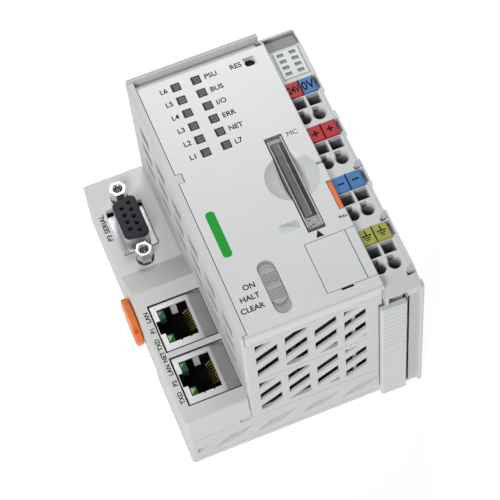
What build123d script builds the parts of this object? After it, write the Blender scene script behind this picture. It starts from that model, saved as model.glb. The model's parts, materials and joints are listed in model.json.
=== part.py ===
"""Compact rail-mounted programmable controller, built as an assembly of separate pieces.

The model is drawn in the module's own corner frame, in millimetres: X runs from the left side
(connector section) to the right side (terminal section), Y from the bottom end to the top end,
Z from the rear (rail side) to the front.  TO_ORIGIN then moves every piece so that the origin
is at the middle of the assembly's footprint, on the plane that the rear rests on.
"""
from build123d import *
import math
import os

# ---------------------------------------------------------------- overall sizes
WIDTH = 78.6            # connector section + main section + terminal section
HEIGHT = 100.0          # bottom end to top end of the housing
RIB_X = (78.05, 79.4)   # guide rib at the bottom right corner
FACE_Z = 71.4           # front face of the main section
DEPTH = 71.9            # rear to the rim and the memory-card lid
X_MAIN = 21.2           # left side of the tall main section
X_MAIN_END = 66.2       # right side of the main section's shells
X_TERM = 66.35          # left side of the terminal section
Z_SEAM = 17.2           # joint between the rear tray and the upper shells
Z_JACKS = 31.4          # front of the network-jack platform
Z_SERIAL = 20.9         # front of the serial-connector platform
Y_RAMP_LOW = 48.4       # ramp between the two platforms, bottom end
Y_RAMP_TOP = 62.0       # ramp between the two platforms, top end
WALL = 1.6              # housing wall
END_WALL = 1.4          # vented end walls
END_DEPTH = 2.7         # end wall with its inner ribs
COVER_T = 2.0           # front plates

# ---------------------------------------------------------------- rail
RAIL_MID = 50.0         # rail centre line
RAIL_HALF = 17.7        # 35 mm rail plus clearance, halved
RAIL_DEPTH = 7.2        # rail front to the rear plane
RAIL_LIP = 6.0          # underside of the rail flange
HOOK_Y = 64.8           # inner end of the fixed hook

# ---------------------------------------------------------------- locking disc and claw
DISC_Y, DISC_Z, DISC_R = 50.2, 10.9, 8.2
DISC_PROUD = 2.6        # disc thickness outside the left wall
SHAFT_R = 2.8
SHAFT_GAP = 0.06        # radial running clearance of the disc's shaft
CRANK = 2.0             # eccentricity of the crank pin
CRANK_R = 0.75
CLAW_X = (3.6, 5.6)     # claw plate, seen from the bottom end
CLAW_NOSE_X = (3.6, 11.6)

# ---------------------------------------------------------------- front cover features
COVER_X0, COVER_X1, COVER_Y1 = 23.8, 67.05, 98.2
APRON_Z = 66.6          # lower edge of the cover's apron on the bottom end
BAND_Y, BAND_Z = 95.0, 68.8     # start and lower end of the sloped band along the top
SEAM = 0.25             # visible gap round the cover and the flap
LED_COLS = (35.4, 42.2)
LED_TOP_Y, LED_PITCH, LED_SIZE = 91.1, 5.26, 3.1
RESET_XY = (60.4, 90.8)
RESET_R, RESET_GAP, RESET_DEEP = 1.6, 0.08, 2.6
DIMPLE_XY = (56.5, 46.0)
DIMPLE_R, DIMPLE_DEPTH = 8.6, 3.0
LID_X = (53.6, 59.0)
LID_Y = (25.9, 61.0)
LID_PIN_Y, LID_PIN_Z, LID_PIN_R = 60.4, 70.7, 0.45
LID_TOP = 71.8
PILL_X, PILL_Y = 37.15, 12.9
PILL_W, PILL_L, PILL_DEPTH = 5.5, 18.9, 0.8
KNOB_Y, KNOB_L, KNOB_W = 13.4, 12.6, 5.1
FLAP_X = (50.8, 63.7)
FLAP_Y = (4.5, 22.3)
FLAP_T = 1.2
FLAP_AXIS_X = 63.8
TAB_Y = (29.65, 40.15)  # orange release tab
TAB_X = (65.35, 66.95)

# ---------------------------------------------------------------- connector section
SERIAL_XY = (10.0, 78.3)
JACKSCREW_SPACING = 24.99
PIN_PITCH, ROW_PITCH = 2.77, 2.84
JACKS = {"x1": 25.4, "x2": 5.4}     # lower edge of each network jack
JACK_X0, JACK_W, JACK_L = 3.55, 17.2, 17.1
JACK_TOP = 31.0
BOARD_Z = 16.2                      # component side of the connector board

# ---------------------------------------------------------------- terminal section
TERM_Z = 68.4                       # terminal face
TERM_EDGE_Z = 68.9                  # raised right edge
SIDE_Z = 61.95                      # top of the right side plate
ROW_TOPS = (79.7, 61.8, 41.8, 21.7)     # top edge of each row's marker plates
PLATE_H, PLATE_W = 5.9, 4.75
COLUMNS = (67.15, 72.0)             # left edge of each plate column
WIRE_R = 2.0
WIRE_X = 1.75                       # column edge to the centre of the wire entry
WIRE_DROP = 14.1                    # plate top to the centre of the wire entry
SLOT_DROP = 6.3                     # plate top to the clamp-release opening
SLOT_SIZE = (4.1, 4.2)
TERM_END = -0.9                     # bottom end of the terminal section
CLAMP_Z = (40.0, 66.4)              # dark clamp carrier under the terminal face
LATCH_X = (65.3, 73.8)
LATCH_PROUD = 2.0
LATCH_TOP = 59.5
HOOD_Z = 64.8                       # underside of the hood above the latch
CELL_X, CELL_PITCH = (70.6, 74.7), 2.5
POWER_SLOTS = (42.1, 22.1, 2.2)     # lower edge of each field-supply contact slot
RIM_GAPS = ((64.5, 73.2), (45.2, 55.4), (25.2, 35.4))   # set-back lengths of the right edge

# ---------------------------------------------------------------- boards
FRONT_BOARD_Z = (58.4, 60.0)
MAIN_BOARD_X = (37.6, 39.2)
POWER_BOARD_X = (61.6, 63.2)

TO_ORIGIN = Location((-(RIB_X[1] - DISC_PROUD) / 2, -(HEIGHT - LATCH_PROUD) / 2, 0))


# ---------------------------------------------------------------- helpers
def block(x0, x1, y0, y1, z0, z1):
    """Box between two corners."""
    return Pos((x0 + x1) / 2, (y0 + y1) / 2, (z0 + z1) / 2) * Box(x1 - x0, y1 - y0, z1 - z0)


def prism_x(points, x0, x1):
    """Outline in Y and Z, extruded along X."""
    return extrude(Plane.YZ.offset(x0) * Polygon(*points, align=None), x1 - x0, dir=(1, 0, 0))


def prism_y(points, y0, y1):
    """Outline in X and Z, extruded along Y."""
    return extrude(Plane.XZ.offset(-y1) * Polygon(*points, align=None), y1 - y0, dir=(0, -1, 0))


def rod_x(x0, x1, y, z, r):
    """Round bar along X."""
    return Pos((x0 + x1) / 2, y, z) * Rot(0, 90, 0) * Cylinder(r, x1 - x0)


def rod_z(x, y, z0, z1, r):
    """Round bar along Z."""
    return Pos(x, y, (z0 + z1) / 2) * Cylinder(r, z1 - z0)


def total(parts):
    """All solids of a list as one shape."""
    whole = parts[0]
    for piece in parts[1:]:
        whole = whole + piece
    return whole


def edges_at(shape, **where):
    """Edges whose middle lies at the given x, y or z."""
    found = shape.edges()
    for axis, value in where.items():
        index = "xyz".index(axis)
        found = ShapeList(e for e in found if abs(tuple(e @ 0.5)[index] - value) < 1e-3)
    return found


def rail_recess(x0, x1):
    """Room for the rail: open to the rear, undercut behind the fixed hook."""
    low, high = RAIL_MID - RAIL_HALF, RAIL_MID + RAIL_HALF
    points = [(low, -1), (HOOK_Y, -1), (HOOK_Y, RAIL_LIP - 0.8), (HOOK_Y + 0.8, RAIL_LIP),
              (high, RAIL_LIP), (high, RAIL_DEPTH), (low, RAIL_DEPTH)]
    return prism_x(points, x0, x1)


# ---------------------------------------------------------------- ventilation
VENT_COL_W, VENT_COL_PITCH = 7.2, 9.6
VENT_ROWS = ((19.8, 38.9), (43.7, 64.4))
VENT_PITCH, VENT_SLOT, VENT_RISE = 8.43, 4.5, 0.62
VENT_X0 = 25.1
VENT_SKIN = 0.8         # wall left around the slots
VENT_PHASE = 56.5       # height of one slot's upper left corner


def slanted_slots(u0, u1, w0, w1, phase):
    """Outlines of the slanted slots that show in one window, u across and w up."""
    outlines = []
    first = math.floor((w0 - phase - VENT_PITCH) / VENT_PITCH)
    for k in range(first, first + 12):
        top = phase + k * VENT_PITCH
        rise = VENT_RISE * (u1 - u0)
        slot = Polygon((u0, top), (u0, top - VENT_SLOT), (u1, top + rise - VENT_SLOT),
                       (u1, top + rise), align=None)
        window = Pos((u0 + u1) / 2, (w0 + w1) / 2) * Rectangle(u1 - u0, w1 - w0)
        seen = slot & window
        outlines += [face for face in seen.faces() if face.area > 0.9] if seen else []
    return outlines


def vent_cutter(plane, depth, u_starts, width, rows, phase_of):
    """Slots of several windows, extruded from the plane by the depth."""
    cutters = []
    for u0 in u_starts:
        for w0, w1 in rows:
            for outline in slanted_slots(u0, u0 + width, w0, w1, phase_of(u0)):
                cutters.append(extrude(plane * outline, depth, dir=plane.z_dir))
    return total(cutters)


def end_vents(outer_y, depth):
    """Slots through an end wall, cut towards -Y from the given depth inside."""
    starts = [VENT_X0 + i * VENT_COL_PITCH for i in range(4)]
    plane = Plane.XZ.offset(-outer_y)
    return vent_cutter(plane, depth, starts, VENT_COL_W, VENT_ROWS,
                       lambda u: VENT_PHASE + VENT_RISE * (u - VENT_X0))


def side_vents():
    """Slots through the left wall of the main section, above the connector section."""
    slots = []
    for i in range(6):
        y = 8.8 + i * 14.4
        for z, tall in ((37.6, 5.0), (46.2, 6.0), (55.6, 6.6)):
            slots.append(prism_x([(y, z + 1.2), (y + 9.0, z), (y + 9.0, z + tall - 1.2), (y, z + tall)],
                                 X_MAIN - 1, X_MAIN + 3))
    return total(slots)


def vent_pockets():
    """Thinner areas of both end walls, cut from the inside, around the slots."""
    pockets = []
    for i in range(4):
        x0 = VENT_X0 + i * VENT_COL_PITCH
        for w0, w1 in VENT_ROWS:
            for y0, y1 in ((VENT_SKIN, END_WALL + 1), (HEIGHT - END_WALL - 1, HEIGHT - VENT_SKIN)):
                pockets.append(block(x0 - 0.3, x0 + VENT_COL_W + 0.3, y0, y1, w0 - 0.3, w1 + 0.3))
    return total(pockets)


def vent_ribs():
    """Upright inner ribs behind the outermost slots of both end walls."""
    x = VENT_X0 + VENT_COL_W / 2 + 3 * VENT_COL_PITCH
    low = block(x - 0.4, x + 0.4, END_WALL - 0.1, END_WALL + 1.2, 19.0, 65.0)
    return low + block(x - 0.4, x + 0.4, HEIGHT - END_WALL - 1.2, HEIGHT - END_WALL + 0.1, 19.0, 65.0)


def vent_baffles():
    """Dark inner sheets behind the vents of the two ends and of the left wall."""
    ends = block(23.1, 64.2, 2.95, 3.25, 18.6, 66.4)
    ends += block(23.1, 64.2, HEIGHT - 3.25, HEIGHT - 2.95, 18.6, 66.4)
    ends -= block(36.4, 40.2, 2, 4, 28.0, 52.0)
    return ends + block(23.4, 23.7, 5.0, 95.0, 34.0, 66.4)


def blind_grooves(y_face):
    """Shallow lines in the end face of the rear tray."""
    grooves = []
    for x0, x1, z in ((25.0, 64.0, 16.2), (2.0, 13.3, 15.4), (2.2, 64.0, 2.1)):
        grooves.append(block(x0, x1, y_face, y_face + 0.5, z, z + 0.5))
    return total(grooves)


FOOT_SLOT = (17.4, 20.9, -1, 1.0, 15.9, 18.1)    # small slot across the seam of the bottom end


def tray_slots():
    """Sloping recesses in the end face of the rear tray, each with a slit at its deep end."""
    cuts = []
    for x0 in (7.6, 22.4, 37.2, 51.4):
        cuts.append(prism_y([(x0, 5.3), (x0 + 8.6, 6.9), (x0 + 10.6, 8.4), (x0 + 14.2, 11.6),
                             (x0 + 5.8, 10.2)], -1, 1.25))
        cuts.append(prism_y([(x0 + 6.6, 8.4), (x0 + 9.4, 8.5), (x0 + 13.8, 11.5), (x0 + 6.6, 10.3)], -1, 3))
    cuts.append(prism_y([(2.3, 5.8), (2.3, 9.0), (7.4, 9.3)], -1, 0.9))
    cuts.append(prism_y([(2.3, 7.3), (2.3, 9.0), (5.0, 9.25)], -1, 3))
    return total(cuts)


# ---------------------------------------------------------------- housing
def rear_housing():
    """Rear tray: end walls, rail recess, fixed hook and the disc's bearing hole."""
    tray = block(0, X_MAIN_END, 0, HEIGHT, 0, Z_SEAM)
    tray = fillet(edges_at(tray, x=0, y=0) + edges_at(tray, x=0, y=HEIGHT)
                  + edges_at(tray, x=X_MAIN_END, y=HEIGHT), 0.9)
    tray -= block(WALL, X_MAIN_END - WALL, WALL, HEIGHT - WALL, 9.0, Z_SEAM + 1)
    tray -= block(WALL, X_MAIN_END - WALL, WALL, 28.5, WALL, 9.5)
    tray -= block(WALL, X_MAIN_END - WALL, 71.5, HEIGHT - WALL, WALL, 9.5)
    tray -= rail_recess(-1, X_MAIN_END + 1)
    tray -= rod_x(-1, 3.2, DISC_Y, DISC_Z, SHAFT_R + SHAFT_GAP)
    tray -= block(CLAW_NOSE_X[0] - 0.3, CLAW_NOSE_X[1] + 0.3, 28, 33, 3.2, 6.1)
    tray -= block(LATCH_X[0] - 0.15, X_MAIN_END + 1, -1, 1.55, -1, Z_SEAM + 1)
    tray -= blind_grooves(-0.01)
    tray -= tray_slots()
    tray -= block(*FOOT_SLOT)
    for x, y in ((30.0, 12.0), (56.0, 12.0), (30.0, 88.0), (56.0, 88.0)):
        tray += rod_z(x, y, 0.8, 14.6, 2.6) - rod_z(x, y, 6.0, 15.0, 1.05)
    tray -= block(30, 42, 40, 60, RAIL_DEPTH - 0.1, RAIL_DEPTH + 0.6)
    return tray


def connector_housing():
    """Low shell over the connector section, with two platforms and a ramp."""
    outline = [(0, Z_SEAM), (0, Z_JACKS), (Y_RAMP_LOW, Z_JACKS), (Y_RAMP_TOP, Z_SERIAL),
               (HEIGHT, Z_SERIAL), (HEIGHT, Z_SEAM)]
    inside = [(WALL, Z_SEAM - 1), (WALL, Z_JACKS - COVER_T), (Y_RAMP_LOW - 0.7, Z_JACKS - COVER_T),
              (Y_RAMP_TOP - 0.7, Z_SERIAL - COVER_T), (HEIGHT - WALL, Z_SERIAL - COVER_T),
              (HEIGHT - WALL, Z_SEAM - 1)]
    shell = prism_x(outline, 0, X_MAIN)
    soft = edges_at(shell, x=0, y=0) + edges_at(shell, x=0, y=HEIGHT) \
        + edges_at(shell, y=0, z=Z_JACKS) + edges_at(shell, y=HEIGHT, z=Z_SERIAL)
    shell = fillet(soft, 0.9)
    shell -= prism_x(inside, WALL, X_MAIN + 1)
    for y0 in JACKS.values():
        shell -= block(JACK_X0 - 0.45, JACK_X0 + JACK_W + 0.25, y0 - 0.5, y0 + JACK_L + 0.35, 20, 40)
    x, y = SERIAL_XY
    window = Pos(x, y) * (Rectangle(4.4, 26.0) + RectangleRounded(12.7, 18.6, 0.9))
    for side in (-1, 1):
        window += Pos(x, y + side * JACKSCREW_SPACING / 2) * Circle(3.05)
    shell -= extrude(Pos(0, 0, Z_SERIAL - 5) * window, 10, dir=(0, 0, 1))
    shell -= block(*FOOT_SLOT)
    shell -= block(X_MAIN - 0.3, X_MAIN + 1, -1, 1.2, 23.5, 32)
    return shell


def tall_shell():
    """Tall shell of the main section, with vents, frame strip and top rim."""
    shell = block(X_MAIN, X_MAIN_END, 0, HEIGHT, Z_SEAM, FACE_Z)
    shell = fillet(edges_at(shell, x=X_MAIN, y=0) + edges_at(shell, x=X_MAIN, y=HEIGHT)
                   + edges_at(shell, x=X_MAIN, z=FACE_Z) + edges_at(shell, y=0, z=FACE_Z), 1.1)
    rim = block(X_MAIN + 0.4, X_MAIN_END, 98.4, HEIGHT, FACE_Z - 3, DEPTH)
    rim = fillet(edges_at(rim, z=DEPTH, y=HEIGHT) + edges_at(rim, z=DEPTH, y=98.4)
                 + edges_at(rim, z=DEPTH, x=X_MAIN_END), 0.5)
    shell += rim
    shell -= block(X_MAIN + WALL, X_MAIN_END - WALL, END_WALL, HEIGHT - END_WALL,
                   Z_SEAM - 1, FACE_Z - COVER_T)
    shell -= block(COVER_X0 - SEAM, X_MAIN_END + 1, END_WALL - 0.1, COVER_Y1 + SEAM,
                   FACE_Z - COVER_T, DEPTH + 1)
    shell -= block(22.2, X_MAIN_END + 1, -1, END_WALL, APRON_Z - SEAM, DEPTH + 1)
    shell += block(COVER_X0 - SEAM - 0.1, 25.5, 57.6, 60.7, FACE_Z - COVER_T, FACE_Z)
    shell -= vent_pockets()
    shell += vent_ribs()
    shell -= end_vents(VENT_SKIN, VENT_SKIN + 2)
    shell -= end_vents(HEIGHT + 1, VENT_SKIN + 1)
    shell -= side_vents()
    shell -= block(X_MAIN + VENT_SKIN, X_MAIN + WALL + 0.1, 7.5, 92.0, 36.8, 63.4)
    shell -= block(X_MAIN + 0.8, X_MAIN_END - 0.2, 99.15, 99.4, DEPTH - 0.25, DEPTH + 1)
    shell -= block(25.0, 64.0, -1, 0.4, 41.1, 41.6)
    shell -= block(64.5, X_MAIN_END + 1, 94.0, COVER_Y1 + SEAM, BAND_Z - 1.6, DEPTH + 1)
    shell -= block(64.5, X_MAIN_END + 1, 95.0, 98.0, 45, DEPTH + 1)
    shell -= block(TAB_X[0] - 0.2, X_MAIN_END + 1, TAB_Y[0] - 0.2, TAB_Y[1] + 0.2, 46, DEPTH + 1)
    shell -= block(LATCH_X[0] - 0.15, X_MAIN_END + 1, -1, 1.55, Z_SEAM - 1, LATCH_TOP + 1.0)
    shell -= block(X_MAIN - 1, X_MAIN + 3, 4, 96, Z_SEAM - 1, Z_SERIAL - COVER_T - 0.3)
    shell -= block(X_MAIN_END - WALL - 1, X_MAIN_END + 1, 10, 70, 20, 34)
    return shell


def main_housing():
    """Left and right walls of the tall shell, between its two vented ends."""
    return tall_shell() & block(0, 80, END_DEPTH, HEIGHT - END_DEPTH, 0, 80)


def vented_ends():
    """Bottom and top end walls of the tall shell, with their vents and inner ribs."""
    shell = tall_shell()
    bottom = shell & block(0, 80, -5, END_DEPTH, 0, 80)
    return bottom + (shell & block(0, 80, HEIGHT - END_DEPTH, HEIGHT + 5, 0, 80))


def capsule(width, length):
    """Round-ended slot outline along Y."""
    return Rot(0, 0, 90) * SlotOverall(length, width)


def front_cover():
    """Front plate with every opening of the operating side."""
    x1 = COVER_X1
    z0 = FACE_Z - COVER_T
    outline = [(0, APRON_Z), (END_WALL - 0.2, APRON_Z), (END_WALL - 0.2, z0), (94.4, z0),
               (BAND_Y, BAND_Z - 1.4), (COVER_Y1, BAND_Z - 1.4), (COVER_Y1, BAND_Z), (BAND_Y, FACE_Z),
               (0, FACE_Z)]
    plate = prism_x(outline, COVER_X0, x1)
    plate += block(22.4, COVER_X0 + 0.1, 0, 1.1, APRON_Z, FACE_Z)
    plate = fillet(edges_at(plate, y=0, z=FACE_Z), 0.9)
    plate = fillet(edges_at(plate, x=x1, z=FACE_Z), 0.35)
    plate -= block(X_MAIN_END, x1 + 1, -1, 4.2, 60, z0)
    dx, dy = DIMPLE_XY
    ball_r = (DIMPLE_R ** 2 + DIMPLE_DEPTH ** 2) / (2 * DIMPLE_DEPTH)
    bowl = rod_z(dx, dy, z0 - 2.6, z0 + 0.1, DIMPLE_R)
    plate += bowl - block(X_MAIN_END - WALL - 0.1, 80, 0, 100, 0, 100)
    plate -= Pos(dx, dy, FACE_Z - DIMPLE_DEPTH + ball_r) * Sphere(ball_r)
    for i in range(6):
        for x in LED_COLS:
            y = LED_TOP_Y - i * LED_PITCH
            half = LED_SIZE / 2
            plate -= block(x - half, x + half, y - half, y + half, 60, 80)
    rx, ry = RESET_XY
    plate -= block(rx - 1.9, rx + 1.8, ry - 1.75, ry + 1.8, FACE_Z - 0.7, 80)
    plate -= rod_z(rx, ry, 60, 80, RESET_R + RESET_GAP)
    plate -= block(LID_X[0] - 0.2, LID_X[1] + 0.2, LID_Y[0] - 0.2, LID_Y[1] + 0.85, 60, 80)
    plate -= rod_x(LID_X[0] - 0.8, LID_X[1] + 0.8, LID_PIN_Y, LID_PIN_Z, LID_PIN_R + 0.05)
    plate -= extrude(Pos(PILL_X, PILL_Y, FACE_Z - PILL_DEPTH) * capsule(PILL_W, PILL_L), 5)
    plate -= block(PILL_X - 1.1, PILL_X + 1.1, KNOB_Y - 4.7, KNOB_Y + 4.7, 60, 80)
    plate -= block(FLAP_X[0] - SEAM, x1 + 1, FLAP_Y[0] - SEAM, FLAP_Y[1] + SEAM,
                   FACE_Z - FLAP_T, 80)
    plate -= block(52.2, 62.8, 5.9, 20.9, 60, 80)
    plate -= block(55.0, 59.0, 3.6, 4.6, 60, 80)
    plate -= prism_y([(45.4, FACE_Z + 0.1), (52.1, FACE_Z + 0.1), (52.1, FACE_Z - 1.7)], 28.5, 31.4)
    plate -= block(65.0, x1 + 1, 46.8, 47.8, 60, 80)
    plate -= block(64.3, 66.5, 95.2, 98.0, 60, 80)
    plate -= block(0, 25.5 + SEAM, 57.6 - SEAM, 60.7 + SEAM, 60, 80)
    plate -= block(TAB_X[0] - 0.2, x1 + 1, TAB_Y[0] - 0.2, TAB_Y[1] + 0.2, 60, 80)
    return plate


def led_windows():
    """Twelve dark light guides, flush in the front cover."""
    half = LED_SIZE / 2 - 0.05
    guides = []
    for i in range(6):
        for x in LED_COLS:
            y = LED_TOP_Y - i * LED_PITCH
            guide = block(x - half, x + half, y - half, y + half, FACE_Z - 1.9, FACE_Z - 0.1)
            guides.append(guide + rod_z(x, y, FRONT_BOARD_Z[1] + 0.9, FACE_Z - 1.8, 1.1))
    return total(guides)


# ---------------------------------------------------------------- moving pieces of the front
def reset_button():
    """Plunger deep in the recessed round hole."""
    x, y = RESET_XY
    button = rod_z(x, y, 65.95, FACE_Z - RESET_DEEP, RESET_R)
    return fillet(edges_at(button, z=FACE_Z - RESET_DEEP), 0.3)


def reset_switch():
    """Short-travel switch under the plunger."""
    x, y = RESET_XY
    return block(x - 3, x + 3, y - 3, y + 3, FRONT_BOARD_Z[1], 64.4) + rod_z(x, y, 64.3, 65.3, 1.0)


def mode_slider():
    """Round-ended slider knob with a raised ridge, ribs and a stem."""
    z0 = FACE_Z - PILL_DEPTH + 0.06
    body = extrude(Pos(PILL_X, KNOB_Y, z0) * capsule(KNOB_W, KNOB_L), 0.6)
    hump = prism_x([(KNOB_Y - 5.2, z0 + 0.4), (KNOB_Y - 4.2, z0 + 0.85), (KNOB_Y + 0.2, z0 + 0.95),
                    (KNOB_Y + 0.5, z0 + 1.22), (KNOB_Y + 4.3, z0 + 0.85), (KNOB_Y + 5.2, z0 + 0.4)],
                   PILL_X - 2.3, PILL_X + 2.3)
    knob = body + hump
    for i in range(5):
        for start in (-4.6, 0.95):
            y = KNOB_Y + start + i * 0.75
            knob -= block(PILL_X - 2.2, PILL_X + 2.2, y, y + 0.35, z0 + 0.62, z0 + 3)
    return knob + block(PILL_X - 0.9, PILL_X + 0.9, KNOB_Y - 1.5, KNOB_Y + 1.5, 65.4, z0 + 0.1)


def mode_switch():
    """Slide switch on the front board, with a groove for the knob's stem."""
    body = block(PILL_X - 3.2, PILL_X + 3.2, KNOB_Y - 7, KNOB_Y + 7, FRONT_BOARD_Z[1], 66.6)
    return body - block(PILL_X - 1.2, PILL_X + 1.2, KNOB_Y - 4.9, KNOB_Y + 4.9, 64.8, 70)


def card_cover():
    """Clear lid over the memory-card slot, hinged at its top end."""
    x0, x1 = LID_X
    y0, y1 = LID_Y
    lid = block(x0, x1, y0, y1, 71.0, LID_TOP)
    lid = fillet(edges_at(lid, y=y0, z=LID_TOP) + edges_at(lid, x=x0, z=LID_TOP)
                 + edges_at(lid, x=x1, z=LID_TOP), 0.3)
    lid += block(x0, x0 + 0.7, y0 + 0.8, 59.2, 69.8, 71.1)
    lid += block(x1 - 0.7, x1, y0 + 0.8, 59.2, 69.8, 71.1)
    lid += block(x0, x1, y0, y0 + 0.8, 69.6, 71.1)
    lid += block(x0 + 1.3, x1 - 1.3, y0 + 2.6, y0 + 3.2, 69.9, 71.1)
    lid += block(x0, x1, 59.6, y1 - 0.1, 70.1, 71.1)
    return lid + rod_x(x0 - 0.6, x1 + 0.6, LID_PIN_Y, LID_PIN_Z, LID_PIN_R)


def card_socket():
    """Deep socket for a memory card, edge-on to the front."""
    x = (LID_X[0] + LID_X[1]) / 2
    body = block(x - 2.5, x + 2.5, 29.2, 57.8, 38.0, 65.6)
    body -= block(x - 1.15, x + 1.15, 31.2, 55.4, 40.0, 70.0)
    return body


def service_flap():
    """Hinged flap over the service connector; its hinge line is along its right side."""
    flap = block(FLAP_X[0], FLAP_X[1], FLAP_Y[0], FLAP_Y[1], FACE_Z - FLAP_T, FACE_Z)
    flap = fillet(edges_at(flap, z=FACE_Z), 0.12)
    flap += block(56.0, 58.0, 6.2, 7.0, FACE_Z - FLAP_T - 1.3, FACE_Z - FLAP_T)
    return flap


def flap_hinge_strip():
    """Fixed strip that carries the flap's hinge line."""
    x0 = FLAP_X[1] + SEAM
    strip = block(x0, COVER_X1, FLAP_Y[0], FLAP_Y[1], FACE_Z - FLAP_T, FACE_Z)
    return fillet(edges_at(strip, x=COVER_X1, z=FACE_Z), 0.35)


def service_connector():
    """Shrouded four-pole service connector under the flap."""
    body = block(53.4, 61.6, 7.6, 19.2, FRONT_BOARD_Z[1], 68.6)
    return body - block(54.5, 60.5, 8.7, 18.1, 61.5, 70.0) - block(60, 62, 12.4, 14.4, 65.5, 70)


def service_pins():
    """Four pins of the service connector."""
    pins = []
    for i in range(4):
        y = 9.6 + i * 2.54
        pins.append(block(57.2, 57.84, y, y + 0.64, 61.5, 64.7))
    return total(pins)


# ---------------------------------------------------------------- rail lock
def locking_disc():
    """Disc on the left side with screwdriver slots, shaft and crank pin."""
    disc = rod_x(-DISC_PROUD, -0.3, DISC_Y, DISC_Z, DISC_R)
    disc = fillet(disc.edges().filter_by(GeomType.CIRCLE), 0.45)
    for side in (-1, 1):
        y = DISC_Y + side * 6.1
        disc -= block(-DISC_PROUD - 1, -1.2, y - 0.7, y + 0.7, DISC_Z - 8, DISC_Z + 12)
        for rise in (-5.4, 5.4):
            disc -= rod_x(-DISC_PROUD - 1, 0, y, DISC_Z + rise, 0.8)
    disc += rod_x(-0.4, 2.9, DISC_Y, DISC_Z, SHAFT_R)
    offset = CRANK / math.sqrt(2)
    return disc + rod_x(2.8, 6.2, DISC_Y + offset, DISC_Z + offset, CRANK_R)


def rail_claw():
    """Sliding claw that grips the rail's lower flange, moved by the crank pin."""
    x0, x1 = CLAW_X
    pin_y = DISC_Y + CRANK / math.sqrt(2)
    claw = block(x0, x1, 24.0, 47.5, 9.3, 11.8)
    claw += block(x0, x1, 47.0, 54.8, 9.3, 15.4)
    claw -= block(x0 - 1, x1 + 1, pin_y - CRANK_R - 0.25, pin_y + CRANK_R + 0.25, 11.0, 14.1)
    claw += block(x0, x1, 24.0, 27.0, 3.5, 11.8)
    nose = block(CLAW_NOSE_X[0], CLAW_NOSE_X[1], 24.0, 35.2, 3.5, 5.8)
    nose = chamfer(edges_at(nose, y=35.2, z=3.5), 1.4)
    return claw + nose


def rail_earth_contact():
    """Sprung contact strip in the roof of the rail recess."""
    strip = block(30.2, 41.8, 40.2, 59.8, RAIL_DEPTH, RAIL_DEPTH + 0.55)
    for y in (45.0, 55.0):
        strip += Pos(36, y, RAIL_DEPTH + 1.7) * Sphere(2.1) & block(30, 42, 40, 60, 6.8, 7.4)
    return strip


# ---------------------------------------------------------------- serial connector
def d_outline(width, height, corner):
    """Rounded D shape along Y, its wide side towards +X."""
    lean = height * math.tan(math.radians(10))
    shape = Polygon((height / 2, width / 2), (-height / 2, width / 2 - lean),
                    (-height / 2, lean - width / 2), (height / 2, -width / 2), align=None)
    return fillet(shape.vertices(), corner)


def serial_shell():
    """Metal flange and D-shaped shell."""
    x, y = SERIAL_XY
    flange = extrude(Pos(x, y, 17.9) * RectangleRounded(12.5, 15.6, 0.6), 0.9)
    outer = extrude(Pos(x, y, 18.6) * d_outline(16.9, 8.4, 1.9), 7.6, dir=(0, 0, 1))
    hollow = extrude(Pos(x, y, 17) * d_outline(16.1, 7.6, 1.5), 12, dir=(0, 0, 1))
    return (flange + outer) - hollow


def serial_bracket():
    """Dark mounting plate under the flange, around the posts and the insulator."""
    x, y = SERIAL_XY
    plate = block(x - 7.0, x + 7.0, y - 16.5, y + 16.5, 16.7, 17.6)
    for side in (-1, 1):
        plate -= rod_z(x, y + side * JACKSCREW_SPACING / 2, 16, 18, 1.6)
    return plate - extrude(Pos(x, y, 16) * d_outline(16.3, 7.8, 1.6), 3, dir=(0, 0, 1))


def serial_positions():
    """Places of the nine contacts: five on the right, four on the left."""
    x, y = SERIAL_XY
    right = [(x + ROW_PITCH / 2, y + (i - 2) * PIN_PITCH) for i in range(5)]
    left = [(x - ROW_PITCH / 2, y + (i - 1.5) * PIN_PITCH) for i in range(4)]
    return right + left


def serial_insulator():
    """Insulating body with nine contact holes; its front covers the shell's edge."""
    x, y = SERIAL_XY
    low, rim, front = BOARD_Z + 0.2, 26.25, 27.7
    head = extrude(Pos(x, y, rim) * d_outline(16.9, 8.4, 1.9), front - rim, dir=(0, 0, 1))
    head = fillet(head.faces().sort_by(Axis.Z)[-1].edges(), 0.4)
    body = head + extrude(Pos(x, y, low) * d_outline(16.04, 7.54, 1.47), 27.0 - low, dir=(0, 0, 1))
    for px, py in serial_positions():
        body -= rod_z(px, py, 18.0, 30, 0.62)
        body -= Pos(px, py, 27.55) * Cone(0.62, 0.85, 0.3)
    return body


def serial_contacts():
    """Nine socket contacts."""
    sockets = []
    for px, py in serial_positions():
        sockets.append(rod_z(px, py, 18.0, 23.4, 0.6) - rod_z(px, py, 20.0, 24.0, 0.4))
    return total(sockets)


def hex_standoffs():
    """Two threaded hexagonal jackscrew posts."""
    x, y = SERIAL_XY
    posts = []
    for side in (-1, 1):
        cy = y + side * JACKSCREW_SPACING / 2
        hexagon = Rot(0, 0, 0) * RegularPolygon(radius=5.0 / math.sqrt(3), side_count=6)
        post = extrude(Pos(x, cy, 18.8) * hexagon, 8.0)
        post &= Pos(x, cy, 22.8) * Cylinder(2.86, 8.0)
        post = post - Pos(x, cy, 26.5) * Cone(1.2, 1.8, 0.6)
        post += rod_z(x, cy, BOARD_Z + 0.2, 18.9, 1.45)
        posts.append(post - rod_z(x, cy, 20.8, 30, 1.2))
    return total(posts)


# ---------------------------------------------------------------- network jacks
CAVITY_X = (5.4, 15.4)
CAVITY_Y = (2.5, 15.1)      # from the jack's lower edge
NOTCH_Y = (6.4, 11.2)


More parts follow.
